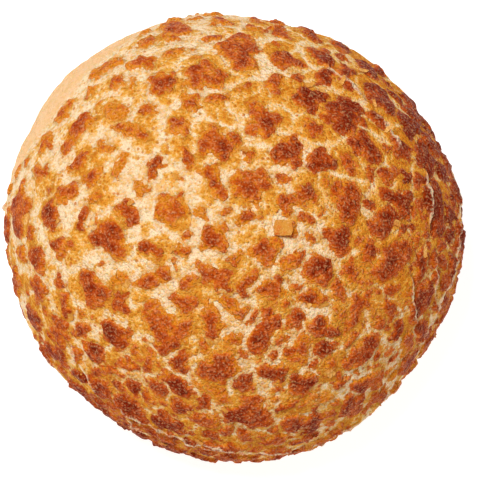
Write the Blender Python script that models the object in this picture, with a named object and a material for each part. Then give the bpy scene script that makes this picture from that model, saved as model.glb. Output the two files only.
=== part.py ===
"""A tiger bread roll: round, flat underneath, with a crust of rice paste cracked into raised plates.

Metres, +Z up, origin at the middle of the flat base. The roll is one closed solid.
"""

import math
import random
from collections import namedtuple

import bpy
import numpy as np
from mathutils import Vector, noise

MM = 0.001

# Driving dimensions of the dough, under the plates.
WIDTH = 106.5 * MM
HEIGHT = 61 * MM
WIDEST_AT = 20 * MM  # height of the widest ring above the base

# The profile is two superellipse quarters that meet at the widest ring. The base cuts the lower one flat.
TOP_FULLNESS = 2.15
UNDERSIDE_FULLNESS = 2.8
UNDERSIDE_REACH = 1.15  # share of WIDEST_AT
PROFILE_STEPS = 400

# How the widest ring leaves a circle: (waves round the ring, size, degrees to the first crest from +X).
RING_WAVES = (
    (2, 1.1 * MM, -40),
    (3, 0.75 * MM, 22),
    (4, 0.45 * MM, 2),
    (5, 0.25 * MM, -7),
)
SWELL_SIZE = 0.9 * MM  # soft hollows and swells of the whole roll
SWELL_LENGTH = 34 * MM

# The paste ends in a ragged hem above the base, and higher round KISS_TURN, where the roll touched another.
HEM = 6.5 * MM
HEM_RAGGEDNESS = 2.5 * MM
KISS_TURN = 137
KISS_HALF_TURN = 38
KISS_HEM = 42.5 * MM

# Plates of crust: raised islands that narrow cracks keep apart. WANDER bends their edges: (length, size).
PLATE_RISE = 0.8 * MM
PLATE_EDGE = 0.9 * MM  # width of a plate's rounded edge
PLATE_LEAN = 0.3 * MM  # most that a plate's far side stands higher or lower than its middle
CRACK = 0.75 * MM
# Every plate has lobes: rounds that stand out of its oval by their middle. The oval is that much smaller.
LOBES = (2, 4)  # least and most
LOBE = (0.45, 0.75)  # radius, as a share of half the plate's width
LOBED_OVAL = 0.83
WANDER = ((7 * MM, 1.1 * MM), (3.1 * MM, 0.85 * MM), (1.5 * MM, 0.45 * MM))

# The plates that can be told apart from the front at VIEW_ELEVATION, from VIEW_DISTANCE away: how far right
# of the roll's middle and how far up they look, the length, the width, and the way the length points,
# anticlockwise from right.
VIEW_ELEVATION = 72
VIEW_DISTANCE = 800 * MM
Plate = namedtuple("Plate", "right up length width turn")
SEEN_PLATES = [
    Plate(right * MM, up * MM, length * MM, width * MM, turn)
    for right, up, length, width, turn in (
        # round the top's middle
        (-5.5, 14.5, 9, 6, 120),
        (4.5, 12.5, 10.5, 7, 100),
        (15, 9.5, 11, 5.5, 30),
        (12, 2.5, 5, 4, 170),
        (17, 5, 7, 4, 150),
        (7, -3, 9, 7, 110),
        (-4.5, 0.5, 9, 7, 130),
        (-4, -9, 11.5, 6.5, 145),
        (-15.5, 7.5, 9.5, 7.5, 60),
        (-25.5, 6, 8.5, 6, 150),
        (-29, -0.5, 13, 7, 130),
        (-12.5, -2, 5, 3.5, 10),
        (-11.5, 20, 7.5, 3.5, 115),
        (-4.5, 23, 11, 7.5, 155),
        (-22, 12, 4.5, 3.5, 60),
        (-19.5, 17, 9.5, 4, 80),
        # the far side
        (-25, 25.5, 13, 5, 150),
        (-28, 30, 6, 4.5, 70),
        (-14, 26.5, 5, 4, 40),
        (-9.5, 33, 5, 4.5, 0),
        (-4, 33.5, 8, 3.5, 20),
        (6.5, 28.5, 10.5, 7, 110),
        (9, 37.5, 6.5, 4, 165),
        (12.5, 42, 7.5, 4, 165),
        (0.5, 45.5, 13, 7, 5),
        (-7.5, 39, 9.5, 6, 150),
        (-16.5, 37.5, 8, 5, 0),
        (-24.5, 36.5, 6, 3, 115),
        (-28, 37, 4.5, 3.5, 0),
        (-23, 41.5, 9, 4.5, 160),
        (-20.5, 46.5, 7, 3.5, 160),
        (-14.5, 44, 7, 2.5, 25),
        (-13.5, 49.5, 9, 5, 165),
        # the left
        (-36, 19, 11, 3.5, 25),
        (-31, 21, 5.5, 4, 150),
        (-37.5, 25, 11.5, 4.5, 60),
        (-41, 30, 6.5, 3, 60),
        (-45, 22.5, 7, 3, 50),
        (-26.5, 17.5, 6.5, 3, 85),
        (-36, 5.5, 6, 4, 60),
        (-51, 8, 9.5, 6.5, 90),
        (-47, -3.5, 7, 5, 110),
        (-41, -2, 5, 4.5, 90),
        (-34, -11.5, 12.5, 6, 125),
        (-21, -9.5, 10, 5.5, 15),
        (-46, -12.5, 6, 4, 135),
        (-40.5, -15.5, 6.5, 3.5, 75),
        (-36.5, -21, 6, 4, 120),
        (-27.5, -22.5, 10.5, 6.5, 145),
        (-33, -26.5, 6, 5, 150),
        # the right
        (20, 18.5, 8.5, 6, 40),
        (12.5, 20.5, 10, 7, 20),
        (18, 33.5, 7, 6, 110),
        (25, 30.5, 10, 7, 145),
        (19, 26.5, 5, 3, 150),
        (34.5, 34, 9, 5.5, 130),
        (30.5, 22, 8, 6, 120),
        (40, 21.5, 9, 4, 115),
        (28, 17.5, 6.5, 3, 110),
        (36, 15.5, 5.5, 4, 150),
        (27.5, 8, 11.5, 8, 95),
        (39, 8.5, 8, 6.5, 160),
        (48, 7, 11, 6, 100),
        (43, 0.5, 5, 3.5, 30),
        (36.5, -5.5, 15, 8.5, 33),
        (31, -10, 6, 3, 175),
        (20, -7.5, 11.5, 8.5, 120),
        (45, -14.5, 12, 6.5, 65),
        (40.5, 28, 10, 3.5, 115),
        (46.5, 22, 9, 4, 125),
        (43.5, 14.5, 5, 3, 120),
        (49.5, 16, 7, 3.5, 110),
        (47, -4, 6, 3.5, 60),
        (51.5, -7, 12, 4, 85),
        (42.5, 6.5, 5, 2.5, 90),
        # the near side
        (-16, -21, 14, 9, 130),
        (-5.5, -19, 9, 6.5, 100),
        (7.5, -22.5, 12.5, 7, 60),
        (16, -25, 9.5, 7, 65),
        (29, -18, 11.5, 6, 50),
        (30.5, -26.5, 14, 6.5, 35),
        (31, -34, 12.5, 6.5, 165),
        (38.5, -21.5, 9, 4, 80),
        (37, -27.5, 4, 3, 0),
        (34, -30.5, 5, 3, 160),
        (44.5, -22.5, 7, 4, 60),
        (41, -29.5, 8, 4.5, 50),
        (-25.5, -30, 7, 3, 5),
        (-24, -35.5, 6.5, 4, 80),
        (-18, -36, 7, 6, 100),
        (-31, -35.5, 8, 6, 130),
        (-4.5, -31, 12, 7, 25),
        (-4, -37.5, 6.5, 5, 140),
        (3.5, -41.5, 11, 8, 20),
        (-12.5, -39.5, 6, 3.5, 150),
        (-14.5, -44, 9, 4, 140),
        (16.5, -34.5, 10.5, 6.5, 35),
        (20, -39, 8, 4, 25),
        (18, -43, 10.5, 6.5, 170),
        (27, -40, 7, 5, 30),
        (10.5, -47.5, 8, 3.5, 170),
        (-2, -49, 11, 3.5, 5),
    )
]

# The other plates are sown between them, the widest first: (radius, most of that size). One is up to LONGEST
# times as long as wide, and lies CLEAR_CROWDED to CLEAR_SPARSE from the others.
SOWN_PLATES = ((3.8 * MM, 90), (2.7 * MM, 110), (1.7 * MM, 110), (1.0 * MM, 110))
LONGEST = 2.0
CLEAR_CROWDED = -0.9 * MM
CLEAR_SPARSE = 1.2 * MM
CROWDED_TURN = -55  # the plates crowd towards this side

FIRST_SUBDIVISIONS = 7  # of the ball that the roll is shaped from
TRIANGLES = 11600
SEED = 31

# The roll stands on three points of its base's rim: which way they lie, and how far they stand out of the base.
FEET = (-90, 30, 150)
FOOT_DROP = 0.03 * MM
BASE_SLACK = 0.02 * MM  # what lies lower than this is flattened

# Ledges: where the crust tore and stepped down. Each goes from one turn round +Z to another, and from one
# distance to another down the dough from the top's middle. The crust below it lies lower by the drop.
Tear = namedtuple("Tear", "turn down last_turn last_down drop")
SEEN_TEARS = [
    Tear(turn, down * MM, last_turn, last_down * MM, drop * MM)
    for turn, down, last_turn, last_down, drop in (
        (57, 42, 37, 41.2, 0.9),
        (31, 40.6, 15, 42.8, 1.3),
        (10, 48.5, -8, 49.4, 0.9),
        (-14, 53, -24, 62, 0.9),
        (-23, 47.6, -34, 58.9, 0.7),
        (-64, 75, -45, 79, 1),
        (-99, 66.6, -73, 76, 0.9),
        (-123, 66.7, -111, 75, 1.1),
        (-141, 60, -127, 68.3, 0.8),
    )
]
HIDDEN_TEARS = 9  # low round the sides
TEAR_REACH = 5.5 * MM  # how far from the tear the crust bends
TEAR_EDGE = 0.5 * MM
TEAR_WANDER = ((5 * MM, 1.3 * MM), (1.9 * MM, 0.5 * MM))
CRUST_COLOUR = (0.48, 0.16, 0.045, 1)


def smooth_step(value, low, high):
    share = np.clip((value - low) / (high - low), 0, 1)
    return share * share * (3 - 2 * share)


def unit(vectors):
    return vectors / np.linalg.norm(vectors, axis=-1, keepdims=True)


def profile():
    """Radius, as a share of the widest ring's, and height, from the top's middle to the base's."""
    turn = np.linspace(0, math.pi / 2, PROFILE_STEPS)
    top_radius = np.sin(turn) ** (2 / TOP_FULLNESS)
    top_height = WIDEST_AT + (HEIGHT - WIDEST_AT) * np.cos(turn) ** (2 / TOP_FULLNESS)
    low_radius = np.cos(turn) ** (2 / UNDERSIDE_FULLNESS)
    low_height = WIDEST_AT * (1 - UNDERSIDE_REACH * np.sin(turn) ** (2 / UNDERSIDE_FULLNESS))
    return np.append(top_radius, low_radius), np.append(top_height, np.maximum(low_height, 0))


def ring_radius(angle):
    """Radius of the widest ring at each angle round +Z."""
    return WIDTH / 2 + sum(
        size * np.cos(waves * (angle - math.radians(first))) for waves, size, first in RING_WAVES
    )


def dough_points(ball):
    """The ball's points moved to the smooth dough, area for area, and how far down each one is."""
    radius, height = profile()
    step = np.hypot(np.diff(radius) * WIDTH / 2, np.diff(height))
    area = np.append(0, np.cumsum(step * (radius[1:] + radius[:-1])))
    reached = (1 - ball[:, 2]) / 2 * area[-1]
    share, z = np.interp(reached, area, radius), np.interp(reached, area, height)
    down = np.interp(reached, area, np.append(0, np.cumsum(step)))
    angle = np.arctan2(ball[:, 1], ball[:, 0])
    out = share * ring_radius(angle)
    points = np.stack([out * np.cos(angle), out * np.sin(angle), z], axis=1)
    swell = np.array([noise.noise(Vector(p) / SWELL_LENGTH) for p in points])
    off_base = smooth_step(z, 0, WIDEST_AT)
    return points * (1 + (swell * SWELL_SIZE * off_base / np.maximum(out, z))[:, None]), down


def wandered(points):
    """The points shifted by noise, which bends the plates' edges."""
    moved = points.copy()
    for length, size in WANDER:
        moved += size * np.array([noise.noise_vector(Vector(p) / length) for p in points])
    return moved


def tears():
    """The ledges that are seen, and the ones sown low round the sides."""
    draw = random.Random(SEED)
    sown = []
    for number in range(HIDDEN_TEARS):
        turn, down = (number + draw.uniform(-0.3, 0.3)) * 360 / HIDDEN_TEARS, draw.uniform(63, 80) * MM
        last = (turn + draw.uniform(20, 42), down + draw.uniform(-5, 5) * MM)
        sown.append(Tear(turn, down, *last, draw.uniform(0.8, 1.4) * MM))
    return SEEN_TEARS + sown


def ledges(points, down):
    """How far the ledges raise each point, or lower it."""
    turn = np.degrees(np.arctan2(points[:, 1], points[:, 0]))
    height = np.zeros(len(points))
    for length, size in TEAR_WANDER:
        down = down + size * np.array([noise.noise(Vector(p) / length) for p in points])
    for tear in tears():
        share = ((turn - tear.turn + 180) % 360 - 180) / (tear.last_turn - tear.turn)
        below = down - tear.down - share * (tear.last_down - tear.down)
        there = smooth_step(share, -0.1, 0.2) * (1 - smooth_step(share, 0.8, 1.1))
        past = smooth_step(below, -TEAR_EDGE / 2, TEAR_EDGE / 2)
        bent = 1 - smooth_step(np.abs(below), 0, TEAR_REACH)
        height += tear.drop * there * bent * (0.5 - past)
    return height


def above_hem(points):
    """How far each point is above the paste's lower edge."""
    angle = np.degrees(np.arctan2(points[:, 1], points[:, 0]))
    away = np.abs((angle - KISS_TURN + 180) % 360 - 180)
    hem = HEM + (KISS_HEM - HEM) * np.sqrt(np.maximum(1 - (away / KISS_HALF_TURN) ** 3, 0))
    ragged = np.array([noise.noise(Vector(p) / WANDER[0][0]) for p in points])
    return points[:, 2] - hem - HEM_RAGGEDNESS * ragged


def inside_oval(u, v, a, b):
    """About how far (u, v) lies inside the oval with half-lengths a and b."""
    reach = np.hypot(u / a, v / b) + 1e-9
    return (1 - reach) * reach / (np.hypot(u / a**2, v / b**2) + 1e-9)


class Crust:
    """The plates on the dough, and how far each point of the dough lies inside the nearest one."""

    def __init__(self, points, normals):
        self.points, self.normals = points, normals
        self.wandered = wandered(points)
        self.first = np.full(len(points), -np.inf)
        self.second = self.first.copy()
        self.lean = np.zeros(len(points))
        self.draw = random.Random(SEED)

    def add(self, index, along, length, width):
        """Lays an oval plate at a point of the dough, with lobes at its rim."""
        normal = self.normals[index]
        along = unit(along - normal * (along @ normal))
        from_middle = self.wandered - self.points[index]
        u, v = from_middle @ along, from_middle @ np.cross(normal, along)
        v = np.hypot(v, from_middle @ normal * 0.5)
        a, b = length / 2 * LOBED_OVAL, width / 2 * LOBED_OVAL
        inside = inside_oval(u, v, a, b)
        for _ in range(self.draw.randint(*LOBES)):
            turn, radius = self.draw.uniform(0, 2 * math.pi), b * self.draw.uniform(*LOBE)
            lobe = inside_oval(u - a * math.cos(turn), v - b * math.sin(turn), radius, radius)
            inside = np.maximum(inside, lobe)
        nearer = inside > self.first
        self.second = np.where(nearer, self.first, np.maximum(self.second, inside))
        self.first = np.where(nearer, inside, self.first)
        lean = self.draw.uniform(-PLATE_LEAN, PLATE_LEAN) * np.clip(u / a, -1, 1)
        self.lean = np.where(nearer, lean, self.lean)

    def lay_seen(self):
        """Lays the plates that are seen, undoing the view and the foreshortening of the slopes."""
        tilt = math.radians(VIEW_ELEVATION)
        right = np.array([1, 0, 0])
        up = np.array([0, math.sin(tilt), math.cos(tilt)])
        toward = np.array([0, -math.cos(tilt), math.sin(tilt)])
        nearer = VIEW_DISTANCE / (VIEW_DISTANCE + toward[2] * WIDEST_AT - self.points @ toward)
        seen_right, seen_up = self.points @ right * nearer, self.points @ up * nearer
        seen_right -= (seen_right.max() + seen_right.min()) / 2
        seen_up -= (seen_up.max() + seen_up.min()) / 2
        hidden = (self.normals @ toward < 0) * WIDTH
        for plate in SEEN_PLATES:
            off = np.hypot(seen_right - plate.right, seen_up - plate.up) + hidden
            index = int(np.argmin(off))
            turn, normal = math.radians(plate.turn), self.normals[index]
            seen = math.cos(turn) * right + math.sin(turn) * up
            along = unit(seen - normal * (seen @ normal))
            across = np.cross(normal, along)
            length, width = (
                size / max(0.45, math.hypot(way @ right, way @ up)) / nearer[index]
                for size, way in ((plate.length, along), (plate.width, across))
            )
            self.add(index, along, length, width)

    def sow(self):
        """Lays the smaller plates at random where there is room, closer together on the crowded side."""
        side = math.radians(CROWDED_TURN)
        toward = self.points @ np.array([math.cos(side), math.sin(side), -0.5]) / (WIDTH / 2)
        sparse = 1 - smooth_step(toward, -0.8, 0.25)
        clear = CLEAR_CROWDED + (CLEAR_SPARSE - CLEAR_CROWDED) * sparse
        pasted = above_hem(self.points) > 0
        for radius, most in SOWN_PLATES:
            for _ in range(most):
                free = np.flatnonzero(pasted & (-self.first > radius + clear))
                if not len(free):
                    break
                index = int(free[self.draw.randrange(len(free))])
                along = np.array([self.draw.gauss(0, 1) for _ in range(3)])
                longer = math.sqrt(self.draw.uniform(1, LONGEST))
                self.add(index, along, 2 * radius * longer, 2 * radius / longer)

    def relief(self):
        """How far the crust stands above the smooth dough at each point."""
        apart = (self.first - self.second) / 2 - CRACK / 2
        inside = np.minimum(np.minimum(self.first, apart), above_hem(self.points))
        return smooth_step(inside, 0, PLATE_EDGE) * (PLATE_RISE + self.lean)


def numbers(mesh, name):
    found = np.empty(len(mesh.vertices) * 3, np.float32)
    mesh.vertices.foreach_get(name, found)
    return found.reshape(-1, 3).astype(float)


def move_to(mesh, points):
    mesh.vertices.foreach_set("co", points.astype(np.float32).ravel())
    mesh.update()


def crust_material():
    material = bpy.data.materials.new("tiger_crust")
    material.use_nodes = True
    shader = material.node_tree.nodes["Principled BSDF"]
    shader.inputs["Base Color"].default_value = CRUST_COLOUR
    shader.inputs["Roughness"].default_value = 0.55
    shader.inputs["Metallic"].default_value = 0
    material.diffuse_color = CRUST_COLOUR
    return material


def stand(mesh):
    """Makes the base flat, but for low points of its rim that the roll stands on."""
    points = numbers(mesh, "co")
    base = points[:, 2] < BASE_SLACK
    points[base, 2] = 0
    for turn in FEET:
        toward = points[:, :2] @ np.array([math.cos(math.radians(turn)), math.sin(math.radians(turn))])
        points[np.argmax(np.where(base, toward, -WIDTH)), 2] = -FOOT_DROP
    move_to(mesh, points + np.array([0, 0, FOOT_DROP]))


def tiger_roll(collection):
    bpy.ops.mesh.primitive_ico_sphere_add(subdivisions=FIRST_SUBDIVISIONS, radius=1)
    roll = bpy.context.object
    roll.name = roll.data.name = "tiger_roll"
    for owner in list(roll.users_collection):
        owner.objects.unlink(roll)
    collection.objects.link(roll)

    dough, down = dough_points(unit(numbers(roll.data, "co")))
    move_to(roll.data, dough)
    crust = Crust(dough, numbers(roll.data, "normal"))
    crust.lay_seen()
    crust.sow()
    rise = crust.relief() + ledges(dough, down)
    crusted = dough + crust.normals * rise[:, None]
    middle = (crusted.max(axis=0) + crusted.min(axis=0)) / 2
    move_to(roll.data, crusted - middle * (1, 1, 0))

    fewer = roll.modifiers.new("fewer_triangles", "DECIMATE")
    fewer.ratio = TRIANGLES / len(roll.data.polygons)
    bpy.ops.object.modifier_apply(modifier=fewer.name)
    stand(roll.data)
    roll.data.materials.append(crust_material())
    roll.data.shade_smooth()
    return roll


def main():
    noise.seed_set(SEED)
    for old in list(bpy.data.objects):
        bpy.data.objects.remove(old)
    collection = bpy.data.collections.new("tiger_bread_roll")
    bpy.context.scene.collection.children.link(collection)
    tiger_roll(collection)


main()
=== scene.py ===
"""The looks of a tiger bread roll: browned plates of rice-paste crust on pale dough, and loose flakes of it.

Metres, +Z up, origin at the middle of the flat base, with the front of the roll towards -Y.
"""

import math
import random
from collections import namedtuple

import bpy
import numpy as np
from bpy.props import FloatProperty, FloatVectorProperty, IntProperty, PointerProperty
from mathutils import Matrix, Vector, noise


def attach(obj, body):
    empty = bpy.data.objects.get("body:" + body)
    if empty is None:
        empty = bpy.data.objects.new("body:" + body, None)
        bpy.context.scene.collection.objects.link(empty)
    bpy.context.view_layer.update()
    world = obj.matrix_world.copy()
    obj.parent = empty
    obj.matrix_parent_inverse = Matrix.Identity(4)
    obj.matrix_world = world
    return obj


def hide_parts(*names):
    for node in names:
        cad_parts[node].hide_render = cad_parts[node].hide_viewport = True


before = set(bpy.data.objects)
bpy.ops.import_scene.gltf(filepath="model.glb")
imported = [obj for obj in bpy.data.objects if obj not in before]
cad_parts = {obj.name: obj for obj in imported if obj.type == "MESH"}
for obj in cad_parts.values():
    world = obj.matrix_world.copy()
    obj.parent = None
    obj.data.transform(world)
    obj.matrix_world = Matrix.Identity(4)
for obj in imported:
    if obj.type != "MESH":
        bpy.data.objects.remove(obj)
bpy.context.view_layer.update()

bl_info = {
    "name": "Tiger bread roll",
    "version": (1, 0, 0),
    "blender": (4, 5, 0),
    "location": "View3D > Sidebar > Tiger roll",
    "description": "Bakes a tiger bread roll with a cracked crust, and lights it",
    "category": "Add Mesh",
}

ROLL_NODE = "tiger_roll"
BODY = "root"

MM = 0.001

# Driving dimensions of the dough, under the plates.
WIDTH = 106.5 * MM
HEIGHT = 61 * MM
WIDEST_AT = 20 * MM  # height of the widest ring above the base

# The profile is two superellipse quarters that meet at the widest ring. The base cuts the lower one flat.
TOP_FULLNESS = 2.15
UNDERSIDE_FULLNESS = 2.8
UNDERSIDE_REACH = 1.15  # share of WIDEST_AT
PROFILE_STEPS = 400

# How the widest ring leaves a circle: (waves round the ring, size, degrees to the first crest from +X).
RING_WAVES = (
    (2, 1.1 * MM, -40),
    (3, 0.75 * MM, 22),
    (4, 0.45 * MM, 2),
    (5, 0.25 * MM, -7),
)
SWELL_SIZE = 0.9 * MM  # soft hollows and swells of the whole roll
SWELL_LENGTH = 34 * MM

# The paste ends in a ragged hem above the base, and higher round KISS_TURN, where the roll touched another.
HEM = 6.5 * MM
HEM_RAGGEDNESS = 2.5 * MM
KISS_TURN = 137
KISS_HALF_TURN = 38
KISS_HEM = 42.5 * MM

# Plates of crust: raised islands that narrow cracks keep apart. WANDER bends their edges: (length, size).
PLATE_RISE = 0.8 * MM
PLATE_EDGE = 0.9 * MM  # width of a plate's rounded edge
PLATE_LEAN = 0.3 * MM  # most that a plate's far side stands higher or lower than its middle
CRACK = 0.75 * MM
# Every plate has lobes: rounds that stand out of its oval by their middle. The oval is that much smaller.
LOBES = (2, 4)  # least and most
LOBE = (0.45, 0.75)  # radius, as a share of half the plate's width
LOBED_OVAL = 0.83
WANDER = ((7 * MM, 1.1 * MM), (3.1 * MM, 0.85 * MM), (1.5 * MM, 0.45 * MM))

# The plates that can be told apart from the front at VIEW_ELEVATION, from VIEW_DISTANCE away: how far right
# of the roll's middle and how far up they look, the length, the width, and the way the length points,
# anticlockwise from right.
VIEW_ELEVATION = 72
VIEW_DISTANCE = 800 * MM
Plate = namedtuple("Plate", "right up length width turn")
SEEN_PLATES = [
    Plate(right * MM, up * MM, length * MM, width * MM, turn)
    for right, up, length, width, turn in (
        # round the top's middle
        (-5.5, 14.5, 9, 6, 120),
        (4.5, 12.5, 10.5, 7, 100),
        (15, 9.5, 11, 5.5, 30),
        (12, 2.5, 5, 4, 170),
        (17, 5, 7, 4, 150),
        (7, -3, 9, 7, 110),
        (-4.5, 0.5, 9, 7, 130),
        (-4, -9, 11.5, 6.5, 145),
        (-15.5, 7.5, 9.5, 7.5, 60),
        (-25.5, 6, 8.5, 6, 150),
        (-29, -0.5, 13, 7, 130),
        (-12.5, -2, 5, 3.5, 10),
        (-11.5, 20, 7.5, 3.5, 115),
        (-4.5, 23, 11, 7.5, 155),
        (-22, 12, 4.5, 3.5, 60),
        (-19.5, 17, 9.5, 4, 80),
        # the far side
        (-25, 25.5, 13, 5, 150),
        (-28, 30, 6, 4.5, 70),
        (-14, 26.5, 5, 4, 40),
        (-9.5, 33, 5, 4.5, 0),
        (-4, 33.5, 8, 3.5, 20),
        (6.5, 28.5, 10.5, 7, 110),
        (9, 37.5, 6.5, 4, 165),
        (12.5, 42, 7.5, 4, 165),
        (0.5, 45.5, 13, 7, 5),
        (-7.5, 39, 9.5, 6, 150),
        (-16.5, 37.5, 8, 5, 0),
        (-24.5, 36.5, 6, 3, 115),
        (-28, 37, 4.5, 3.5, 0),
        (-23, 41.5, 9, 4.5, 160),
        (-20.5, 46.5, 7, 3.5, 160),
        (-14.5, 44, 7, 2.5, 25),
        (-13.5, 49.5, 9, 5, 165),
        # the left
        (-36, 19, 11, 3.5, 25),
        (-31, 21, 5.5, 4, 150),
        (-37.5, 25, 11.5, 4.5, 60),
        (-41, 30, 6.5, 3, 60),
        (-45, 22.5, 7, 3, 50),
        (-26.5, 17.5, 6.5, 3, 85),
        (-36, 5.5, 6, 4, 60),
        (-51, 8, 9.5, 6.5, 90),
        (-47, -3.5, 7, 5, 110),
        (-41, -2, 5, 4.5, 90),
        (-34, -11.5, 12.5, 6, 125),
        (-21, -9.5, 10, 5.5, 15),
        (-46, -12.5, 6, 4, 135),
        (-40.5, -15.5, 6.5, 3.5, 75),
        (-36.5, -21, 6, 4, 120),
        (-27.5, -22.5, 10.5, 6.5, 145),
        (-33, -26.5, 6, 5, 150),
        # the right
        (20, 18.5, 8.5, 6, 40),
        (12.5, 20.5, 10, 7, 20),
        (18, 33.5, 7, 6, 110),
        (25, 30.5, 10, 7, 145),
        (19, 26.5, 5, 3, 150),
        (34.5, 34, 9, 5.5, 130),
        (30.5, 22, 8, 6, 120),
        (40, 21.5, 9, 4, 115),
        (28, 17.5, 6.5, 3, 110),
        (36, 15.5, 5.5, 4, 150),
        (27.5, 8, 11.5, 8, 95),
        (39, 8.5, 8, 6.5, 160),
        (48, 7, 11, 6, 100),
        (43, 0.5, 5, 3.5, 30),
        (36.5, -5.5, 15, 8.5, 33),
        (31, -10, 6, 3, 175),
        (20, -7.5, 11.5, 8.5, 120),
        (45, -14.5, 12, 6.5, 65),
        (40.5, 28, 10, 3.5, 115),
        (46.5, 22, 9, 4, 125),
        (43.5, 14.5, 5, 3, 120),
        (49.5, 16, 7, 3.5, 110),
        (47, -4, 6, 3.5, 60),
        (51.5, -7, 12, 4, 85),
        (42.5, 6.5, 5, 2.5, 90),
        # the near side
        (-16, -21, 14, 9, 130),
        (-5.5, -19, 9, 6.5, 100),
        (7.5, -22.5, 12.5, 7, 60),
        (16, -25, 9.5, 7, 65),
        (29, -18, 11.5, 6, 50),
        (30.5, -26.5, 14, 6.5, 35),
        (31, -34, 12.5, 6.5, 165),
        (38.5, -21.5, 9, 4, 80),
        (37, -27.5, 4, 3, 0),
        (34, -30.5, 5, 3, 160),
        (44.5, -22.5, 7, 4, 60),
        (41, -29.5, 8, 4.5, 50),
        (-25.5, -30, 7, 3, 5),
        (-24, -35.5, 6.5, 4, 80),
        (-18, -36, 7, 6, 100),
        (-31, -35.5, 8, 6, 130),
        (-4.5, -31, 12, 7, 25),
        (-4, -37.5, 6.5, 5, 140),
        (3.5, -41.5, 11, 8, 20),
        (-12.5, -39.5, 6, 3.5, 150),
        (-14.5, -44, 9, 4, 140),
        (16.5, -34.5, 10.5, 6.5, 35),
        (20, -39, 8, 4, 25),
        (18, -43, 10.5, 6.5, 170),
        (27, -40, 7, 5, 30),
        (10.5, -47.5, 8, 3.5, 170),
        (-2, -49, 11, 3.5, 5),
    )
]

# The other plates are sown between them, the widest first: (radius, most of that size). One is up to LONGEST
# times as long as wide, and lies CLEAR_CROWDED to CLEAR_SPARSE from the others.
SOWN_PLATES = ((3.8 * MM, 90), (2.7 * MM, 110), (1.7 * MM, 110), (1.0 * MM, 110))
LONGEST = 2.0
CLEAR_CROWDED = -0.9 * MM
CLEAR_SPARSE = 1.2 * MM
CROWDED_TURN = -55  # the plates crowd towards this side
SITE_SUBDIVISIONS = 7  # of the ball whose points the plates are laid on
SKIN_SUBDIVISIONS = 8  # of the ball that becomes the crust
SKIN_TRIANGLES = 192000
SEED = 31

# Ledges: where the crust tore and stepped down. Each goes from one turn round +Z to another, and from one
# distance to another down the dough from the top's middle. The crust below it lies lower by the drop.
Tear = namedtuple("Tear", "turn down last_turn last_down drop")
SEEN_TEARS = [
    Tear(turn, down * MM, last_turn, last_down * MM, drop * MM)
    for turn, down, last_turn, last_down, drop in (
        (57, 42, 37, 41.2, 0.9),
        (31, 40.6, 15, 42.8, 1.3),
        (10, 48.5, -8, 49.4, 0.9),
        (-14, 53, -24, 62, 0.9),
        (-23, 47.6, -34, 58.9, 0.7),
        (-64, 75, -45, 79, 1),
        (-99, 66.6, -73, 76, 0.9),
        (-123, 66.7, -111, 75, 1.1),
        (-141, 60, -127, 68.3, 0.8),
    )
]
HIDDEN_TEARS = 9  # low round the sides
TEAR_REACH = 5.5 * MM  # how far from the tear the crust bends
TEAR_EDGE = 0.5 * MM
TEAR_WANDER = ((5 * MM, 1.3 * MM), (1.9 * MM, 0.5 * MM))

# Thin golden paste between the plates, where most of it lies: placed like the plates.
SEEN_FILMS = [
    Plate(right * MM, up * MM, length * MM, width * MM, turn)
    for right, up, length, width, turn in (
        (-6, 41, 20, 8, 10),
        (-1, 27, 14, 12, 150),
        (12, 30, 12, 18, 100),
        (-9, 24, 10, 9, 0),
        (-38, 40, 10, 5, 30),
        (-23, 21, 8, 5, 20),
        (-21, -1, 6, 6, 0),
        (-28, -15, 9, 8, 0),
        (25, 24, 12, 8, 30),
        (22, 12, 12, 8, 90),
        (34, 27, 14, 8, 130),
        (36, 12, 10, 6, 110),
        (12, -14, 10, 8, 0),
        (26, -13, 12, 8, 30),
        (-8, -26, 10, 8, 0),
        (-9, -41, 8, 4, 0),
        (12, -32, 10, 6, 90),
        (33, 2, 16, 5, 20),
        (23, -30, 8, 5, 30),
        (-45, 12, 8, 5, 60),
        (-12, -13, 8, 6, 60),
    )
]

# Finer relief, each a field of noise: (length, shift). The shift keeps it apart from the others.
PLATE_GRAIN = (0.75 * MM, 2.2)
PLATE_LUMPS = (2.3 * MM, 4.1)
FINE_WRINKLES = (1.8 * MM, 9.4)
WIDE_WRINKLES = (4.5 * MM, 1.3)
STRETCHES = (9 * MM, 3.1)
NET_WANDER = (4 * MM, 1.4 * MM)  # length and size of the bends in the film's cracks
GRAIN_SIZE = 0.08 * MM
FILM_GRAIN_SIZE = 0.06 * MM

FLAKE_SUBDIVISIONS = 3
FLAKE_WARP = (0.9 * MM, 0.12 * MM)  # length and size of the bumps in a flake
FLAKE_LENGTH = (1.4 * MM, 2.6 * MM)
CRUMB_LENGTH = (0.35 * MM, 0.8 * MM)

# Loose flakes that are seen: placed like the plates, then how far the far end curls up, and how rounded off
# it is, from 0, a square, to 1.
SEEN_FLAKES = [
    (Plate(right * MM, up * MM, length * MM, width * MM, turn), curl * MM, round_off)
    for right, up, length, width, turn, curl, round_off in (
        (12.1, 2.6, 4.3, 3.7, -6, 0.3, 0.1),
        (36.8, 26, 2.6, 0.8, 50, 0.7, 0.5),
        (30.6, 39.7, 2.2, 0.8, 20, 0.6, 0.5),
        (25.8, 37, 2.2, 1, 60, 0.5, 0.4),
        (33.5, 32, 1.8, 0.7, 110, 0.5, 0.4),
        (18, 36.2, 1.9, 1, 20, 0.4, 0.4),
        (45.5, -3.6, 2.2, 0.8, 100, 0.6, 0.5),
        (-24.5, 8.5, 1.8, 1, 30, 0.4, 0.4),
    )
]

# How much more than elsewhere the roll's right edge, and parts of its whole edge, are darkened, as (turn
# round the picture's middle, how much): partly the oven's browning, and partly painted shade where the light
# falls off towards the sides.
BROWNED_AND_SHADED_RIGHT = 0.3
BROWNED_AND_SHADED = ((118, -0.75), (160, -0.3), (24, 0.2), (-112, 0.2), (-40, -0.6))

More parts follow.
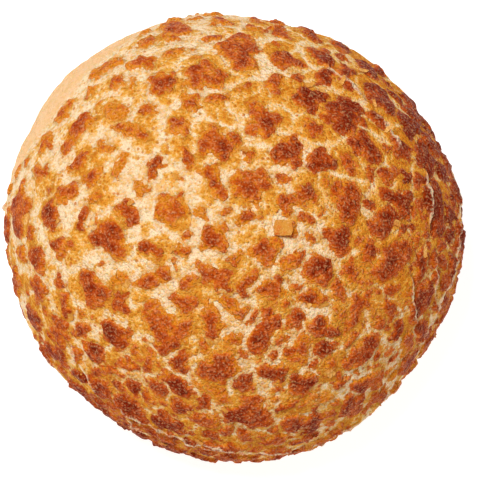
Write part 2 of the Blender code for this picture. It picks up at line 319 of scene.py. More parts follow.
# The picture is PICTURE pixels square, and the roll's outline lies in it from ROLL_LEFT to ROLL_RIGHT and
# from ROLL_TOP to ROLL_BOTTOM.
PICTURE = 480
ROLL_LEFT = 2
ROLL_RIGHT = 466
ROLL_TOP = 12
ROLL_BOTTOM = 463
SENSOR = 36  # millimetres, as lenses are

FLOOR_SIZE = 6
KEY_PLACE = (-0.24, 0.04, 1.05)
KEY_SIZE = 0.3


class Roll_Crust(bpy.types.PropertyGroup):
    """Sizes of what the crust has besides its plates."""

    flake_thickness: FloatProperty(
        name="Flake thickness", description="Thickness of a loose flake", default=0.3 * MM, unit="LENGTH"
    )
    loose_flakes: IntProperty(
        name="Loose flakes", description="How many more flakes lie on the roll", default=24
    )
    crumbs: IntProperty(name="Crumbs", description="How many crumbs lie on the roll", default=70)
    grain_length: FloatProperty(
        name="Grain length", description="Width of the blisters on a plate", default=1.15 * MM, unit="LENGTH"
    )
    grain_rise: FloatProperty(
        name="Grain rise", description="Height of the blisters on a plate", default=0.24 * MM, unit="LENGTH"
    )
    film_rise: FloatProperty(
        name="Film rise", description="Thickness of the golden film between plates", default=0.22 * MM,
        unit="LENGTH",
    )
    mesh_length: FloatProperty(
        name="Mesh length", description="Width of the film's pieces between cracks", default=8.5 * MM,
        unit="LENGTH",
    )
    crack: FloatProperty(
        name="Crack", description="Half the width of the least crack in the film", default=0.25 * MM,
        unit="LENGTH",
    )
    stretch: FloatProperty(
        name="Stretch", description="How much wider the cracks are where the dough swelled", default=0.8 * MM,
        unit="LENGTH",
    )
    lip_rise: FloatProperty(
        name="Lip rise", description="How far a torn ledge's lip stands up", default=0.3 * MM, unit="LENGTH"
    )
    wrinkle_rise: FloatProperty(
        name="Wrinkle rise", description="Height of the wrinkles in the stretched dough", default=0.2 * MM,
        unit="LENGTH",
    )


def colour(name, description, red, green, blue):
    """A colour property, its default given as screen red, green and blue from 0 to 255."""
    default = tuple(linear(part) for part in (red, green, blue))
    return FloatVectorProperty(
        name=name, description=description, subtype="COLOR", default=default, min=0, max=1
    )


def linear(part):
    part /= 255
    return part / 12.92 if part <= 0.04045 else ((part + 0.055) / 1.055) ** 2.4


class Roll_Colours(bpy.types.PropertyGroup):
    """Colours of the baked paste and of the dough, with the painted highlights and painted shade on them."""

    dough: colour("Dough", "Stretched dough in the cracks", 255, 224, 182)
    dough_shade: colour("Dough shade", "Hollows of the stretched dough", 234, 184, 124)
    # Painted shade in the tiny pores of the dough.
    pore: colour("Pore", "Tiny dark pores of the dough", 200, 152, 98)
    bare: colour("Bare dough", "Smooth dough that has no paste", 255, 204, 154)
    film_pale: colour("Pale film", "Thinnest golden paste", 244, 188, 110)
    film: colour("Film", "Thin golden paste", 232, 158, 56)
    film_deep: colour("Deep film", "Thicker golden paste", 212, 124, 28)
    # Painted shade round the foot of each plate, where it meets the dough; the flakes' thin paste is partly
    # this brown.
    halo: colour("Halo", "Thin brown paste at the foot of a plate", 176, 116, 44)
    rim: colour("Plate rim", "Amber edge of a plate", 226, 136, 28)
    plate: colour("Plate", "Lightly browned plate", 206, 94, 22)
    plate_brown: colour("Browned plate", "Well browned plate", 174, 64, 14)
    # Also the colour of the painted shade in the plates' pits and in the grooves under the ledges.
    plate_dark: colour("Dark plate", "Plate where the oven was hottest", 130, 32, 2)
    # Painted highlight: the pale tops of the blisters stand in for glints of the light on the glossy paste.
    glint: colour("Blister", "Tops of the blisters on a plate", 248, 182, 126)


class Roll_Stage(bpy.types.PropertyGroup):
    """The camera and the light."""

    elevation: FloatProperty(
        name="Elevation", description="Height of the camera over the horizon", subtype="ANGLE",
        default=math.radians(VIEW_ELEVATION),
    )
    lens: FloatProperty(name="Lens", description="Focal length in millimetres", default=250, min=50, max=500)
    key_watts: FloatProperty(
        name="Key light", description="Power of the large light", default=8.4, unit="POWER"
    )
    sky: FloatProperty(
        name="Sky", description="Strength of the white surroundings", default=0.5, min=0, max=3
    )


def smooth_step(value, low, high):
    share = np.clip((value - low) / (high - low), 0, 1)
    return share * share * (3 - 2 * share)


def unit(vectors):
    return vectors / np.linalg.norm(vectors, axis=-1, keepdims=True)


def ripple(points, length, shift=0):
    """Soft noise at each point, about -1 to 1, with swells of the given length."""
    return np.array([noise.noise(Vector(point)) for point in points / length + shift])


def off_net(points, length):
    """About how far each point lies from a net of cracks with meshes of the given length."""
    bend_length, bend_size = NET_WANDER
    bends = np.array([noise.noise_vector(Vector(point)) for point in points / bend_length])
    points = points + bend_size * bends
    reach = np.array([noise.voronoi(Vector(point))[0][:2] for point in points / length])
    return (reach[:, 1] - reach[:, 0]) * length / 2


def blisters(points, length):
    """A field of small domes of the given width, 0 between them and 1 on top."""
    reach = np.array([noise.voronoi(Vector(point))[0][0] for point in points / length])
    return 1 - np.clip(reach / 0.75, 0, 1) ** 2


def profile():
    """Radius, as a share of the widest ring's, and height, from the top's middle to the base's."""
    turn = np.linspace(0, math.pi / 2, PROFILE_STEPS)
    top_radius = np.sin(turn) ** (2 / TOP_FULLNESS)
    top_height = WIDEST_AT + (HEIGHT - WIDEST_AT) * np.cos(turn) ** (2 / TOP_FULLNESS)
    low_radius = np.cos(turn) ** (2 / UNDERSIDE_FULLNESS)
    low_height = WIDEST_AT * (1 - UNDERSIDE_REACH * np.sin(turn) ** (2 / UNDERSIDE_FULLNESS))
    return np.append(top_radius, low_radius), np.append(top_height, np.maximum(low_height, 0))


def ring_radius(angle):
    """Radius of the widest ring at each angle round +Z."""
    return WIDTH / 2 + sum(
        size * np.cos(waves * (angle - math.radians(first))) for waves, size, first in RING_WAVES
    )


def dough_points(ball):
    """The ball's points moved to the smooth dough, and how far down the profile each one is."""
    radius, height = profile()
    step = np.hypot(np.diff(radius) * WIDTH / 2, np.diff(height))
    area = np.append(0, np.cumsum(step * (radius[1:] + radius[:-1])))
    reached = (1 - ball[:, 2]) / 2 * area[-1]
    share, z = np.interp(reached, area, radius), np.interp(reached, area, height)
    down = np.interp(reached, area, np.append(0, np.cumsum(step)))
    angle = np.arctan2(ball[:, 1], ball[:, 0])
    out = share * ring_radius(angle)
    points = np.stack([out * np.cos(angle), out * np.sin(angle), z], axis=1)
    swell = ripple(points, SWELL_LENGTH)
    off_base = smooth_step(z, 0, WIDEST_AT)
    return points * (1 + (swell * SWELL_SIZE * off_base / np.maximum(out, z))[:, None]), down


def wandered(points):
    """The points shifted by noise, which bends the plates' edges."""
    moved = points.copy()
    for length, size in WANDER:
        moved += size * np.array([noise.noise_vector(Vector(point) / length) for point in points])
    return moved


def tears():
    """The ledges that are seen, and the ones sown low round the sides."""
    draw = random.Random(SEED)
    sown = []
    for number in range(HIDDEN_TEARS):
        turn, down = (number + draw.uniform(-0.3, 0.3)) * 360 / HIDDEN_TEARS, draw.uniform(63, 80) * MM
        last = (turn + draw.uniform(20, 42), down + draw.uniform(-5, 5) * MM)
        sown.append(Tear(turn, down, *last, draw.uniform(0.8, 1.4) * MM))
    return SEEN_TEARS + sown


def ledges(points, down):
    """How far the ledges raise or lower each point, and 1 on a ledge's lip to -1 in the sunk groove under it,
    painted with shadow.
    """
    turn = np.degrees(np.arctan2(points[:, 1], points[:, 0]))
    height, lip, groove_shadow = np.zeros((3, len(points)))
    for length, size in TEAR_WANDER:
        down = down + size * ripple(points, length)
    for tear in tears():
        share = ((turn - tear.turn + 180) % 360 - 180) / (tear.last_turn - tear.turn)
        below = down - tear.down - share * (tear.last_down - tear.down)
        there = smooth_step(share, -0.1, 0.2) * (1 - smooth_step(share, 0.8, 1.1))
        past = smooth_step(below, -TEAR_EDGE / 2, TEAR_EDGE / 2)
        bent = 1 - smooth_step(np.abs(below), 0, TEAR_REACH)
        height += tear.drop * there * bent * (0.5 - past)
        lip = np.maximum(lip, there * (1 - smooth_step(np.abs(below + TEAR_EDGE), 0.3 * MM, 0.9 * MM)))
        groove_shadow = np.maximum(groove_shadow, there * (1 - smooth_step(np.abs(below - TEAR_EDGE), 0.2 * MM, 0.8 * MM)))
    return height, lip - groove_shadow


def above_hem(points):
    """How far each point is above the paste's lower edge."""
    angle = np.degrees(np.arctan2(points[:, 1], points[:, 0]))
    away = np.abs((angle - KISS_TURN + 180) % 360 - 180)
    hem = HEM + (KISS_HEM - HEM) * np.sqrt(np.maximum(1 - (away / KISS_HALF_TURN) ** 3, 0))
    return points[:, 2] - hem - HEM_RAGGEDNESS * ripple(points, WANDER[0][0])


def inside_oval(u, v, a, b):
    """About how far (u, v) lies inside the oval with half-lengths a and b."""
    reach = np.hypot(u / a, v / b) + 1e-9
    return (1 - reach) * reach / (np.hypot(u / a**2, v / b**2) + 1e-9)


# A plate as laid: its middle, the ways of its length, width and thickness, their half-lengths, its lobes as
# (u, v, radius), how far its end leans out, and its tone from -1, pale, to 1, dark.
Laid = namedtuple("Laid", "middle along across out a b lobes lean tone")


class Nearest:
    """How far each point lies inside the nearest of the plates laid on it, and inside the one after."""

    def __init__(self, points):
        self.points = wandered(points)
        self.first = np.full(len(points), -np.inf)
        self.second = self.first.copy()
        self.lean, self.tone = np.zeros((2, len(points)))

    def lay(self, plate):
        from_middle = self.points - plate.middle
        u, v = from_middle @ plate.along, from_middle @ plate.across
        v = np.hypot(v, from_middle @ plate.out * 0.5)
        inside = inside_oval(u, v, plate.a, plate.b)
        for lobe_u, lobe_v, radius in plate.lobes:
            inside = np.maximum(inside, inside_oval(u - lobe_u, v - lobe_v, radius, radius))
        nearer = inside > self.first
        self.second = np.where(nearer, self.first, np.maximum(self.second, inside))
        self.first = np.where(nearer, inside, self.first)
        self.lean = np.where(nearer, plate.lean * np.clip(u / plate.a, -1, 1), self.lean)
        self.tone = np.where(nearer, plate.tone, self.tone)

    def inside(self):
        """How far each point is inside a plate, once cracks have parted the plates that touch."""
        return np.minimum(self.first, (self.first - self.second) / 2 - CRACK / 2)


class Look:
    """Finds the point of a surface seen at a place in the picture, and undoes the foreshortening there."""

    def __init__(self, points, normals):
        tilt = math.radians(VIEW_ELEVATION)
        self.right = np.array([1, 0, 0])
        self.up = np.array([0, math.sin(tilt), math.cos(tilt)])
        toward = np.array([0, -math.cos(tilt), math.sin(tilt)])
        self.normals = normals
        self.nearer = VIEW_DISTANCE / (VIEW_DISTANCE + toward[2] * WIDEST_AT - points @ toward)
        self.seen_right, self.seen_up = points @ self.right * self.nearer, points @ self.up * self.nearer
        self.seen_right -= (self.seen_right.max() + self.seen_right.min()) / 2
        self.seen_up -= (self.seen_up.max() + self.seen_up.min()) / 2
        self.hidden = (normals @ toward < 0) * WIDTH

    def find(self, oval):
        """The point's index, the way of the oval's length there, and its true length and width."""
        index = int(np.argmin(np.hypot(self.seen_right - oval.right, self.seen_up - oval.up) + self.hidden))
        turn, normal = math.radians(oval.turn), self.normals[index]
        seen = math.cos(turn) * self.right + math.sin(turn) * self.up
        along = unit(seen - normal * (seen @ normal))
        length, width = (
            size / max(0.45, math.hypot(way @ self.right, way @ self.up)) / self.nearer[index]
            for size, way in ((oval.length, along), (oval.width, np.cross(normal, along)))
        )
        return index, along, length, width


class Baker:
    """Lays the plates on the dough: first the ones that are seen, then the rest where there is room."""

    def __init__(self, sites, normals):
        self.sites, self.normals = sites, normals
        self.nearest = Nearest(sites)
        self.draw = random.Random(SEED)
        self.tones = random.Random(SEED)
        self.plates = []

    def lay(self, index, along, length, width):
        out = self.normals[index]
        along = unit(along - out * (along @ out))
        a, b = length / 2 * LOBED_OVAL, width / 2 * LOBED_OVAL
        rounds = []
        for _ in range(self.draw.randint(*LOBES)):
            turn, radius = self.draw.uniform(0, 2 * math.pi), b * self.draw.uniform(*LOBE)
            rounds.append((a * math.cos(turn), b * math.sin(turn), radius))
        lean = self.draw.uniform(-PLATE_LEAN, PLATE_LEAN)
        tone = self.tones.uniform(-1, 1)
        plate = Laid(self.sites[index], along, np.cross(out, along), out, a, b, rounds, lean, tone)
        self.nearest.lay(plate)
        self.plates.append(plate)

    def lay_seen(self, ovals):
        """Lays ovals where they are seen."""
        look = Look(self.sites, self.normals)
        for oval in ovals:
            self.lay(*look.find(oval))

    def sow(self):
        """Lays the smaller plates at random where there is room, closer together on the crowded side."""
        side = math.radians(CROWDED_TURN)
        toward = self.sites @ np.array([math.cos(side), math.sin(side), -0.5]) / (WIDTH / 2)
        sparse = 1 - smooth_step(toward, -0.8, 0.25)
        clear = CLEAR_CROWDED + (CLEAR_SPARSE - CLEAR_CROWDED) * sparse
        pasted = above_hem(self.sites) > 0
        for radius, most in SOWN_PLATES:
            for _ in range(most):
                free = np.flatnonzero(pasted & (-self.nearest.first > radius + clear))
                if not len(free):
                    break
                index = int(free[self.draw.randrange(len(free))])
                along = np.array([self.draw.gauss(0, 1) for _ in range(3)])
                longer = math.sqrt(self.draw.uniform(1, LONGEST))
                self.lay(index, along, 2 * radius * longer, 2 * radius / longer)


def numbers(mesh, name):
    found = np.empty(len(mesh.vertices) * 3, np.float32)
    mesh.vertices.foreach_get(name, found)
    return found.reshape(-1, 3).astype(float)


def numbers_at(mesh, name):
    """A number kept at each point of the mesh."""
    found = np.empty(len(mesh.vertices), np.float32)
    mesh.attributes[name].data.foreach_get("value", found)
    return found


def move_to(mesh, points):
    mesh.vertices.foreach_set("co", points.astype(np.float32).ravel())
    mesh.update()


def dough_ball(name, subdivisions):
    """An object shaped like the smooth dough, its points, their normals, and how far down each one is."""
    bpy.ops.mesh.primitive_ico_sphere_add(subdivisions=subdivisions, radius=1)
    ball = bpy.context.object
    ball.name = ball.data.name = name
    points, down = dough_points(unit(numbers(ball.data, "co")))
    move_to(ball.data, points)
    return ball, points, numbers(ball.data, "normal"), down


def baked_and_shaded(points):
    """How dark each point is, 0 to about 1: oven browning, least where the roll touched another, and partly
    painted shade.
    """
    tilt = math.radians(VIEW_ELEVATION)
    right = points[:, 0] / (WIDTH / 2)
    up = (points[:, 1] * math.sin(tilt) + (points[:, 2] - WIDEST_AT) * math.cos(tilt)) / (WIDTH / 2)
    bake = 0.3 + 0.4 * np.minimum(right**2 + up**2, 1) + BROWNED_AND_SHADED_RIGHT * np.maximum(right, 0)
    for turn, size in BROWNED_AND_SHADED:
        toward = right * math.cos(math.radians(turn)) + up * math.sin(math.radians(turn))
        bake += size * np.maximum(toward, 0) ** 3
    return bake


def flat_ring(flat):
    """The way each place lies from the flake's middle, so that noise on it makes the outline ragged."""
    return np.append(1.6 * unit(flat + 1e-6), np.zeros((len(flat), 1)), axis=1)


def flake(at, out, along, length, width, thickness, curl, round_off, pale):
    """A thin closed flake that lies at a point, its far end bent up by the curl.

    Rounded off by 0 it is nearly square, and the more it is rounded off, the more ragged it is.
    """
    bpy.ops.mesh.primitive_cube_add(size=2)
    shape = bpy.context.object
    finer = shape.modifiers.new("finer", "SUBSURF")
    finer.subdivision_type, finer.levels = "SIMPLE", FLAKE_SUBDIVISIONS
    bpy.ops.object.modifier_apply(modifier=finer.name)
    cube = numbers(shape.data, "co")
    flat = cube[:, :2] * np.sqrt(1 - round_off * cube[:, 1::-1] ** 2 / 2)
    flat *= (1 + (0.1 + 0.7 * round_off) * ripple(flat_ring(flat), 1, at[0] / MM))[:, None]
    u, v = flat[:, 0] * length / 2, flat[:, 1] * width / 2
    w = cube[:, 2] * thickness / 2 + curl * (flat[:, 0] * 0.5 + 0.5) ** 2
    warp_length, warp_size = FLAKE_WARP
    w += warp_size * ripple(np.stack([u, v, 0 * u], axis=1), warp_length, at[1] / MM)
    move_to(shape.data, at + u[:, None] * along + v[:, None] * np.cross(out, along) + w[:, None] * out)
    keep(shape.data, "pale", np.full(len(cube), pale))
    return shape


class Value:
    """A number that varies over a surface: a socket, with the arithmetic that adds its Math nodes."""

    def __init__(self, tree, socket):
        self.tree, self.socket = tree, socket

    def math(self, operation, *terms):
        node = self.tree.node("ShaderNodeMath", {"operation": operation}, dict(enumerate(terms)))
        return Value(self.tree, node.outputs[0])

    def __add__(self, other):
        return self.math("ADD", self, other)

    def __sub__(self, other):
        return self.math("SUBTRACT", self, other)

    def __rsub__(self, other):
        return self.math("SUBTRACT", other, self)

    def __mul__(self, other):
        return self.math("MULTIPLY", self, other)

    def clamped(self):
        return self.math("MINIMUM", self.math("MAXIMUM", self, 0), 1)

    def step(self, low, high):
        """0 below low, 1 above high, and smooth between."""
        sockets = {"Value": self, "From Min": low, "From Max": high}
        node = self.tree.node("ShaderNodeMapRange", {"interpolation_type": "SMOOTHSTEP"}, sockets)
        return Value(self.tree, node.outputs[0])

    __radd__ = __add__
    __rmul__ = __mul__


class Tree:
    """A material's nodes."""

    def __init__(self, name):
        self.material = bpy.data.materials.new(name)
        self.material.use_nodes = True
        self.nodes = self.material.node_tree.nodes
        self.links = self.material.node_tree.links
        self.shader = self.nodes["Principled BSDF"]

    def node(self, kind, settings, sockets):
        """Adds a node: first its settings, then the value or the link of each socket."""
        node = self.nodes.new(kind)
        for name, value in settings.items():
            setattr(node, name, value)
        for key, value in sockets.items():
            self.feed(node.inputs[key], value)
        return node

    def feed(self, socket, value):
        if isinstance(value, Value):
            self.links.new(value.socket, socket)
        elif isinstance(value, bpy.types.NodeSocket):
            self.links.new(value, socket)
        else:
            socket.default_value = value

    def read(self, name):
        """A number kept at the mesh's points."""
        node = self.node("ShaderNodeAttribute", {"attribute_name": name}, {})
        return Value(self, node.outputs["Fac"])

    def place(self):
        """The place on the object, in metres."""
        return self.node("ShaderNodeTexCoord", {}, {}).outputs["Object"]

    def mottle(self, length, detail=2.0, rough=0.5):
        """Noise from 0 to 1 with patches of the given length."""
        sockets = {"Vector": self.place(), "Scale": 1 / length, "Detail": detail, "Roughness": rough}
        return Value(self, self.node("ShaderNodeTexNoise", {}, sockets).outputs[0])

    def cells(self, length):
        """Distance to the nearest of scattered points, and a number from 0 to 1 drawn for that point."""
        sockets = {"Vector": self.place(), "Scale": 1 / length}
        found = self.node("ShaderNodeTexVoronoi", {}, sockets).outputs
        drawn = self.node("ShaderNodeSeparateColor", {}, {"Color": found["Color"]}).outputs[0]
        return Value(self, found["Distance"]), Value(self, drawn)

    def mix(self, share, first, second):
        """The first colour where the share is 0, the second where it is 1."""
        first, second = ((*c, 1) if isinstance(c, tuple) else c for c in (first, second))
        sockets = {0: share, 6: first, 7: second}
        return self.node("ShaderNodeMix", {"data_type": "RGBA"}, sockets).outputs[2]

    def bump(self, height, metres):
        sockets = {"Height": height, "Distance": metres}
        return self.node("ShaderNodeBump", {}, sockets).outputs[0]


def crust_material(colours):
    """Pale dough, golden film on it, and browned blistered plates, from the numbers kept at the points, with
    painted highlights on the blisters and painted shade in the pits, the pores, round the plates' feet and
    under the ledges.
    """
    tree = Tree("tiger_crust")
    tone = {key: tuple(getattr(colours, key)) for key in Roll_Colours.__annotations__}
    plate, bake, film = tree.read("plate"), tree.read("bake"), tree.read("film")
    dust = tree.mottle(0.5 * MM, 1)
    fine = tree.mottle(0.8 * MM, 3, 0.6)
    grain = tree.mottle(1.6 * MM, 2)
    lump = tree.mottle(3.4 * MM, 2)
    blister, _ = tree.cells(0.9 * MM)
    speck, draw = tree.cells(1.1 * MM)

    # Stretched dough, with the golden film on it, paler where it is thin.
    shade = (lump * 0.5 + grain * 0.4 + fine * 0.6).step(0.62, 0.9) * 0.8
    dough = tree.mix(shade, tone["dough"], tone["dough_shade"])
    # Painted shade in the pores, where the bump is low.
    dough = tree.mix(dust.step(0.2, 0.34), tone["pore"], dough)
    # Darker dough where the bake field is high: browning, and partly painted shade.
    dough = tree.mix(bake.step(0.35, 0.95) * 0.5, dough, tone["dough_shade"])
    gold = film.step(-0.4, 0.5) * (bake * 0.9 + 0.6) + film * 0.15 + plate.step(-1.2, 0.2) * 0.35 - 0.5
    gold = gold + (grain - 0.5) * 2.2 + (fine - 0.5) * 2.4 + (lump - 0.5) * 1.4 + (dust - 0.5)
    ground = tree.mix(gold.step(-0.6, 0.2), dough, tone["film_pale"])
    ground = tree.mix(gold.step(0.05, 0.7), ground, tone["film"])
    ground = tree.mix(gold.step(0.6, 1.5), ground, tone["film_deep"])
    speck = (1 - (speck + (fine - 0.5) * 0.5).step(0.22, 0.42)) * (film * 0.2 + 0.3 - draw).step(0, 0.15)
    ground = tree.mix(speck * 0.8, ground, tree.mix(bake.step(0.2, 0.8), tone["film_deep"], tone["plate"]))

    # Painted shade: a darker brown ring, broken by noise, round the foot of each plate.
    halo = plate.step(-0.9, 0) * (lump * 2.2 + fine * 0.8 - 1.0).clamped()
    ground = tree.mix(halo * 0.5, ground, tone["halo"])

    # Plates: amber where thin, browned in the middle, darkest where the bake field is highest, which is oven
    # browning and partly painted shade.
    ragged = plate + (fine - 0.5) * 0.8 + (grain - 0.5) * 0.8 + (dust - 0.5) * 0.3 + (bake - 0.45) * 0.5
    cover = ragged.step(-0.08, 0.16)
    heat_and_shade = ragged.step(-0.1, 1.6) * 0.65 + bake * 0.95 + tree.read("tone") * 0.18 - 0.28
    heat_and_shade = heat_and_shade + (lump - 0.5) * 2.4 + (grain - 0.5) * 0.9 + (fine - 0.5) * 0.5
    browned = tree.mix(heat_and_shade.step(0.0, 0.45), tone["rim"], tone["plate"])
    browned = tree.mix(heat_and_shade.step(0.40, 0.85), browned, tone["plate_brown"])
    browned = tree.mix(heat_and_shade.step(0.75, 1.3), browned, tone["plate_dark"])
    # Painted shade in the pits of the plates, where the bump is low.
    painted_pit_shade = 1 - (dust * 0.6 + fine * 0.6).step(0.42, 0.58)
    browned = tree.mix(painted_pit_shade, browned, tree.mix(0.4, browned, tone["plate_dark"]))
    # Painted highlight on the blister tops, where the bump is highest.
    top = (1 - blister.step(0.3, 0.7) * 0.6) * (dust * 0.7 + fine * 0.5).step(0.54, 0.78)
    browned = tree.mix(top * 0.5, browned, tone["glint"])
    skin = tree.mix(cover, ground, browned)

    # Torn ledges: a pale lip, and under it a sunk groove with painted shadow.
    # Above 0 a ledge's lip, below 0 the groove under it that gets painted shadow.
    lip = tree.read("lip")
    torn_edge = (lip * (grain * 1.4 + lump * 1.4 + dust - 1.2)).step(0.2, 0.9)
    skin = tree.mix(torn_edge * 0.75, skin, tone["dough"])
    # Painted shadow in the groove under each lip.
    skin = tree.mix((lip * -0.9).clamped(), skin, tone["plate_dark"])

    # The dough that has no paste.
    tanned = (lump * 0.4 + grain * 0.3 + fine * 0.4).step(0.45, 0.68) * 0.6
    bare = tree.mix(tanned, tone["bare"], tone["film_pale"])
    # Painted shade in the bare dough's pores, in the dough shade colour.
    bare = tree.mix(dust.step(0.22, 0.36), tone["dough_shade"], bare)
    bare = tree.mix((tree.mottle(9 * MM, 3) * 0.7 + bake * 0.5).step(0.4, 0.9) * 0.5, bare, tone["film"])
    skin = tree.mix((tree.read("bare") + (grain - 0.5) * 0.9 + (lump - 0.5) * 0.9).step(0.3, 0.8), skin, bare)

    tree.feed(tree.shader.inputs["Base Color"], skin)
    tree.feed(tree.shader.inputs["Roughness"], 0.66 - cover * 0.3)
    height = ((1 - blister) * 0.8 + lump - 0.95) * cover + grain * 0.8 + fine + dust + speck * 0.3
    tree.feed(tree.shader.inputs["Normal"], tree.bump(height, 0.7 * MM))
    tree.shader.inputs["Specular IOR Level"].default_value = 0.02
    tree.shader.inputs["Subsurface Weight"].default_value = 0.2
    tree.shader.inputs["Subsurface Scale"].default_value = 1.2 * MM
    return tree.material


def flake_material(colours):
    """Thin crisp paste: amber, browner in places, with pale specks of painted highlight."""
    tree = Tree("paste_flake")
    tone = {key: tuple(getattr(colours, key)) for key in Roll_Colours.__annotations__}
    fine, patch = tree.mottle(0.6 * MM, 2), tree.mottle(1.8 * MM, 2)
    # The flakes' thin paste is half this brown and half film: here it is their own colour.
    thin = tree.mix(0.5, tone["halo"], tone["film"])
    skin = tree.mix((patch * 0.8 + fine * 0.3).step(0.5, 0.9), thin, tone["plate"])
    skin = tree.mix((patch * 0.5 + fine * 0.6).step(0.65, 0.85), skin, tone["plate_brown"])
    # Painted highlight as pale specks on the flakes.
    skin = tree.mix((1 - fine).step(0.5, 0.7) * 0.3, skin, tone["glint"])
    skin = tree.mix((tree.read("pale") + (fine - 0.5) * 1.5).step(0.4, 0.9), skin, tone["film_pale"])
    tree.feed(tree.shader.inputs["Base Color"], skin)
    tree.feed(tree.shader.inputs["Roughness"], 0.45 + fine * 0.3)
    tree.feed(tree.shader.inputs["Normal"], tree.bump(fine + patch, 0.5 * MM))
    tree.shader.inputs["Specular IOR Level"].default_value = 0.1
    return tree.material


def stage_material():
    tree = Tree("pale_floor")
    tree.shader.inputs["Base Color"].default_value = (0.5, 0.5, 0.5, 1)
    tree.shader.inputs["Roughness"].default_value = 0.9
    tree.shader.inputs["Emission Color"].default_value = (1, 1, 1, 1)
    tree.shader.inputs["Emission Strength"].default_value = 0.8
    return tree.material


def keep(mesh, name, values):
    """Keeps a number at each point of the mesh, for its material."""
    mesh.attributes.new(name, "FLOAT", "POINT").data.foreach_set("value", values.astype(np.float32))


class TIGERROLL_OT_crust(bpy.types.Operator):
    """Bakes the roll: the dough, the film, the plates with their blisters, and the torn ledges"""

    bl_idname = "tigerroll.crust"
    bl_label = "Bake the crust"

    def execute(self, context):
        noise.seed_set(SEED)
        crust = context.scene.roll_crust
        ball, sites, normals, _ = dough_ball("sites", SITE_SUBDIVISIONS)
        baker = Baker(sites, normals)
        baker.lay_seen(SEEN_PLATES)
        baker.sow()
        gold = Baker(sites, normals)
        gold.lay_seen(SEEN_FILMS)
        bpy.data.objects.remove(ball)

        roll, points, normals, down = dough_ball("crust", SKIN_SUBDIVISIONS)
        nearest, golden = Nearest(points), Nearest(points)
        for plate in baker.plates:
            nearest.lay(plate)
        for patch in gold.plates:
            golden.lay(patch)
        pasted = above_hem(points)
        inside = np.minimum(nearest.inside(), pasted)
        plate = smooth_step(inside, 0, PLATE_EDGE)
        bake = baked_and_shaded(points)

        stretched = (1 - smooth_step(golden.first, -2.5 * MM, 1 * MM)) * (1 - smooth_step(bake, 0.3, 0.65))
        stretched *= 0.6 + 0.8 * smooth_step(ripple(points, *STRETCHES), -0.3, 0.4)
        film = off_net(points, crust.mesh_length) - crust.crack - crust.stretch * stretched
        film = np.minimum(film, pasted - 0.5 * MM)
        filmed = smooth_step(film, -0.2 * MM, 0.4 * MM) * (1 - plate)
        torn, lip = ledges(points, down)

        grain = blisters(points, crust.grain_length) - 0.5
        fine = ripple(points, *PLATE_GRAIN)
        lump = ripple(points, *PLATE_LUMPS)
        wrinkle = 0.6 * ripple(points, *FINE_WRINKLES) + 0.4 * ripple(points, *WIDE_WRINKLES)
        wrinkle *= 1.5 - 0.5 * smooth_step(pasted, -1 * MM, 1 * MM)
        blistered = crust.grain_rise * (grain + 1.2 * lump)
        rise = plate * (PLATE_RISE + nearest.lean + blistered + GRAIN_SIZE * fine)
        rise += filmed * (crust.film_rise + FILM_GRAIN_SIZE * fine)
        rise += (1 - plate) * crust.wrinkle_rise * wrinkle
        rise += torn + crust.lip_rise * lip * smooth_step(pasted, 0, 2 * MM)
        shaped = points + normals * (rise * smooth_step(points[:, 2], 0, 2 * MM))[:, None]
        middle = (shaped.max(axis=0) + shaped.min(axis=0)) / 2
        move_to(roll.data, shaped - middle * (1, 1, 0))

        keep(roll.data, "plate", inside / MM)
        keep(roll.data, "bake", bake)
        keep(roll.data, "tone", nearest.tone)
        keep(roll.data, "film", np.clip(film / MM, -2, 2))
        keep(roll.data, "lip", lip * smooth_step(pasted, 0, 2 * MM))
        keep(roll.data, "bare", 1 - smooth_step(pasted, -3 * MM, 1.5 * MM))
        fewer = roll.modifiers.new("fewer_triangles", "DECIMATE")
        fewer.ratio = SKIN_TRIANGLES / len(roll.data.polygons)
        bpy.ops.object.modifier_apply(modifier=fewer.name)
        roll.data.shade_smooth()
        roll.data.materials.append(crust_material(context.scene.roll_colours))
        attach(roll, BODY)
        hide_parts(ROLL_NODE)
        return {"FINISHED"}


class TIGERROLL_OT_flakes(bpy.types.Operator):
    """Lays the loose flakes and crumbs of the crust on the roll"""

    bl_idname = "tigerroll.flakes"
    bl_label = "Lay the flakes"

    def execute(self, context):
        roll = bpy.data.objects.get("crust")
        if roll is None:
            self.report({"ERROR"}, "Bake the crust first")
            return {"CANCELLED"}
        crust = context.scene.roll_crust
        skin, normals = numbers(roll.data, "co"), numbers(roll.data, "normal")
        draw = random.Random(SEED)
        laid = []
        look = Look(skin, normals)
        for seen, curl, round_off in SEEN_FLAKES:
            index, along, length, width = look.find(seen)
            at = skin[index] + normals[index] * crust.flake_thickness * 0.6
            size = (length, width, crust.flake_thickness)
            laid.append(flake(at, normals[index], along, *size, curl, round_off, curl / MM))
        edge = numbers_at(roll.data, "plate")
        free = np.flatnonzero((np.abs(edge) < 0.25) & (skin[:, 2] > HEM * 1.6))
        for number in range(crust.loose_flakes + crust.crumbs):
            index = int(free[draw.randrange(len(free))])
            out = unit(normals[index] + 0.25 * unit(skin[index]))
            along = np.cross(out, [draw.gauss(0, 1) for _ in range(3)])
            crumb = number >= crust.loose_flakes
            length = draw.uniform(*(CRUMB_LENGTH if crumb else FLAKE_LENGTH))
            thickness = length * 0.7 if crumb else crust.flake_thickness
            at = skin[index] + out * thickness * 0.35
            curl = 0 if crumb else length * draw.uniform(0, 0.35)
            size = (length, length * draw.uniform(0.5, 0.9), thickness)
            laid.append(flake(at, out, unit(along), *size, curl, 0.8, draw.uniform(0, 0.6)))
        with context.temp_override(active_object=laid[0], selected_editable_objects=laid):
            bpy.ops.object.join()
        flakes = laid[0]
        flakes.name = flakes.data.name = "loose_flakes"
        flakes.data.materials.append(flake_material(context.scene.roll_colours))
        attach(flakes, BODY)
        return {"FINISHED"}


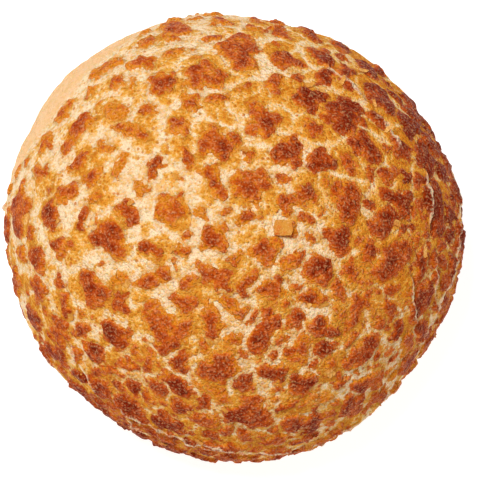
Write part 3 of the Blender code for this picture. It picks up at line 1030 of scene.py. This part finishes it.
class TIGERROLL_OT_stage(bpy.types.Operator):
    """Sets up the floor, the light and the camera"""

    bl_idname = "tigerroll.stage"
    bl_label = "Set the stage"

    def execute(self, context):
        stage = context.scene.roll_stage
        bpy.ops.mesh.primitive_plane_add(size=FLOOR_SIZE)
        floor = context.object
        floor.name = "floor"
        floor.data.materials.append(stage_material())
        self.light(context, stage)
        self.film(context, stage)
        context.scene.view_settings.view_transform = "Standard"
        return {"FINISHED"}

    def light(self, context, stage):
        bpy.ops.object.light_add(type="AREA", location=KEY_PLACE)
        key = context.object
        key.name = "key_light"
        key.data.energy, key.data.size = stage.key_watts, KEY_SIZE
        key.rotation_euler = (-Vector(KEY_PLACE)).to_track_quat("-Z", "Y").to_euler()
        world = bpy.data.worlds.new("white_room")
        world.use_nodes = True
        world.node_tree.nodes["Background"].inputs["Color"].default_value = (1, 1, 1, 1)
        world.node_tree.nodes["Background"].inputs["Strength"].default_value = stage.sky
        context.scene.world = world

    def film(self, context, stage):
        """Turns the camera so that the roll fills the picture from ROLL_LEFT to ROLL_RIGHT."""
        tilt = stage.elevation
        right, up = Vector((1, 0, 0)), Vector((0, math.sin(tilt), math.cos(tilt)))
        toward = Vector((0, -math.cos(tilt), math.sin(tilt)))
        bpy.ops.object.camera_add()
        camera = context.object
        camera.name = "camera"
        camera.data.lens, camera.data.sensor_width = stage.lens, SENSOR
        camera.data.clip_end = 10
        camera.rotation_euler = toward.to_track_quat("Z", "Y").to_euler()
        skin = numbers(bpy.data.objects["crust"].data, "co")
        aside, above, ahead = (skin @ np.array(way) for way in (right, up, toward))
        aim = Vector((0, 0, WIDEST_AT))
        distance = VIEW_DISTANCE
        for _ in range(6):
            depth = distance + aim @ toward - ahead
            x = PICTURE / 2 + (aside - aim @ right) / depth * stage.lens / SENSOR * PICTURE
            y = PICTURE / 2 - (above - aim @ up) / depth * stage.lens / SENSOR * PICTURE
            pixel = distance * SENSOR / stage.lens / PICTURE
            aim += right * (x.max() + x.min() - ROLL_LEFT - ROLL_RIGHT) / 2 * pixel
            aim -= up * (y.max() + y.min() - ROLL_TOP - ROLL_BOTTOM) / 2 * pixel
            distance *= (x.max() - x.min()) / (ROLL_RIGHT - ROLL_LEFT)
        camera.location = aim + toward * distance
        context.scene.camera = camera


class TIGERROLL_PT_steps(bpy.types.Panel):
    """Lists the steps and the sizes and colours that they use"""

    bl_idname = "TIGERROLL_PT_steps"
    bl_label = "Tiger roll"
    bl_space_type = "VIEW_3D"
    bl_region_type = "UI"
    bl_category = "Tiger roll"

    def draw(self, context):
        for operator in OPERATORS:
            self.layout.operator(operator.bl_idname)
        for name, group in GROUPS.items():
            box = self.layout.box()
            box.label(text=group.__name__.replace("_", " "))
            for key in group.__annotations__:
                box.prop(getattr(context.scene, name), key)


GROUPS = {"roll_crust": Roll_Crust, "roll_colours": Roll_Colours, "roll_stage": Roll_Stage}
OPERATORS = (TIGERROLL_OT_crust, TIGERROLL_OT_flakes, TIGERROLL_OT_stage)


def register():
    for group in (*GROUPS.values(), *OPERATORS, TIGERROLL_PT_steps):
        bpy.utils.register_class(group)
    for name, group in GROUPS.items():
        setattr(bpy.types.Scene, name, PointerProperty(type=group))


def unregister():
    for name in GROUPS:
        delattr(bpy.types.Scene, name)
    for group in reversed((*GROUPS.values(), *OPERATORS, TIGERROLL_PT_steps)):
        bpy.utils.unregister_class(group)


def main():
    register()
    bpy.ops.tigerroll.crust()
    bpy.ops.tigerroll.flakes()
    bpy.ops.tigerroll.stage()


if __name__ == "__main__":
    main()
